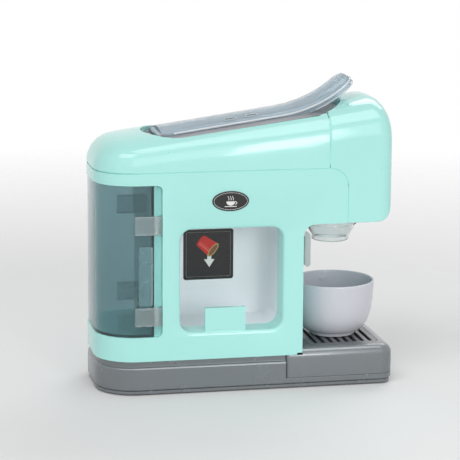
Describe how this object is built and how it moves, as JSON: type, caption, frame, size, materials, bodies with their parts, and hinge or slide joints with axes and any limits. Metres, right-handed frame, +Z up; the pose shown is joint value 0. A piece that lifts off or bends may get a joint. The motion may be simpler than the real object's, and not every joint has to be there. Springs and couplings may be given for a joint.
{
  "type": "toy coffee maker",
  "caption": "Toy capsule coffee maker with a lift-up lever, capsule window and drop gate, pull-off water tank, dispensing paddle, drip tray and cup.",
  "frame": {"origin": "on the table, at the centre of the footprint's bounding box", "axes": "+Z up; +X forward, where the cup stands; -Y is the side with the capsule window"},
  "size_m": [0.229, 0.092, 0.2356],
  "materials": {
    "mint": "glossy mint moulding",
    "clear_smoke": "clear smoke-blue moulding",
    "deck_grey": "satin grey moulding",
    "bay_white": "satin cool white moulding",
    "base_silver": "silver grey moulding with a soft gloss",
    "cup_white": "glossy white moulding",
    "clear": "clear glossy moulding",
    "button_grey": "glossy grey moulding",
    "steel": "plated steel",
    "black_plastic": "black moulding",
    "board_green": "green board laminate",
    "rubber": "soft black rubber",
    "hose": "milky soft hose",
    "cell": "printed metal cell, plain",
    "led": "red lens"
  },
  "bodies": {
    "body": {"body_right": "mint", "body_left": "mint", "top_cover": "mint", "head_cover": "mint", "capsule_bay": "bay_white", "capsule_chute": "bay_white", "deck": "deck_grey", "lever_pin": "steel", "nozzle": "clear", "paddle_pin": "steel", "paddle_switch": "black_plastic", "pump": "steel", "inlet_hose": "hose", "outlet_hose": "hose", "circuit_board": "board_green", "status_led": "led", "base_housing": "base_silver", "base_plate": "base_silver", "battery_cover": "base_silver", "speaker": "black_plastic", "battery_cover_screw": "steel", "battery_cell_1": "cell", "battery_cell_2": "cell", "battery_cell_3": "cell", "battery_contact_1": "steel", "battery_contact_2": "steel", "foot_1": "rubber", "base_screw_1": "steel", "body_screw_1": "steel", "foot_2": "rubber", "base_screw_2": "steel", "body_screw_2": "steel", "foot_3": "rubber", "base_screw_3": "steel", "body_screw_3": "steel", "foot_4": "rubber", "base_screw_4": "steel", "body_screw_4": "steel"},
    "lever": {"lever": "clear_smoke"},
    "link": {"gate_link": "black_plastic"},
    "gate": {"drop_gate": "deck_grey", "gate_crank": "steel"},
    "paddle": {"paddle": "clear"},
    "button": {"start_button": "button_grey"},
    "tank": {"tank": "clear_smoke", "tank_outlet": "hose"},
    "tray": {"drip_tray": "base_silver", "drip_grate": "deck_grey"},
    "cup": {"cup": "cup_white"},
    "slider": {"power_switch": "black_plastic"}
  },
  "joints": [
    {"name": "lever_lift", "type": "hinge", "parent": "body", "child": "lever", "pos_m": [-0.062, 0, 0.19208], "axis": [0, -1, 0], "range_deg": [0, 70]},
    {"name": "link_turn", "type": "hinge", "parent": "lever", "child": "link", "pos_m": [-0.06889, 0, 0.18105], "axis": [0, -1, 0], "range_deg": [-70, 0]},
    {"name": "gate_drop", "type": "hinge", "parent": "body", "child": "gate", "pos_m": [0.0069, -0.005, 0.16858], "axis": [0, -1, 0], "range_deg": [0, 70]},
    {"name": "paddle_press", "type": "hinge", "parent": "body", "child": "paddle", "pos_m": [0.0502, 0, 0.1331], "axis": [0, 1, 0], "range_deg": [0, 8], "stiffness_Nm_per_rad": 0.05, "springref_deg": -5.73},
    {"name": "button_press", "type": "slide", "parent": "body", "child": "button", "axis": [-1, 0, 0], "range_m": [0, 0.0012], "stiffness_N_per_m": 500, "springref_m": -0.001},
    {"name": "tank_pull", "type": "slide", "parent": "body", "child": "tank", "axis": [-1, 0, 0], "range_m": [0, 0.06]},
    {"name": "tray_pull", "type": "slide", "parent": "body", "child": "tray", "axis": [1, 0, 0], "range_m": [0, 0.06]},
    {"name": "cup_away", "type": "slide", "parent": "tray", "child": "cup", "axis": [1, 0, 0], "range_m": [0, 0.08]},
    {"name": "power_slide", "type": "slide", "parent": "body", "child": "slider", "axis": [1, 0, 0], "range_m": [0, 0.004]}
  ],
  "couplings": [
    {"joint": "link_turn", "follows": "lever_lift", "ratio": -1},
    {"joint": "gate_drop", "follows": "lever_lift", "ratio": 1}
  ]
}
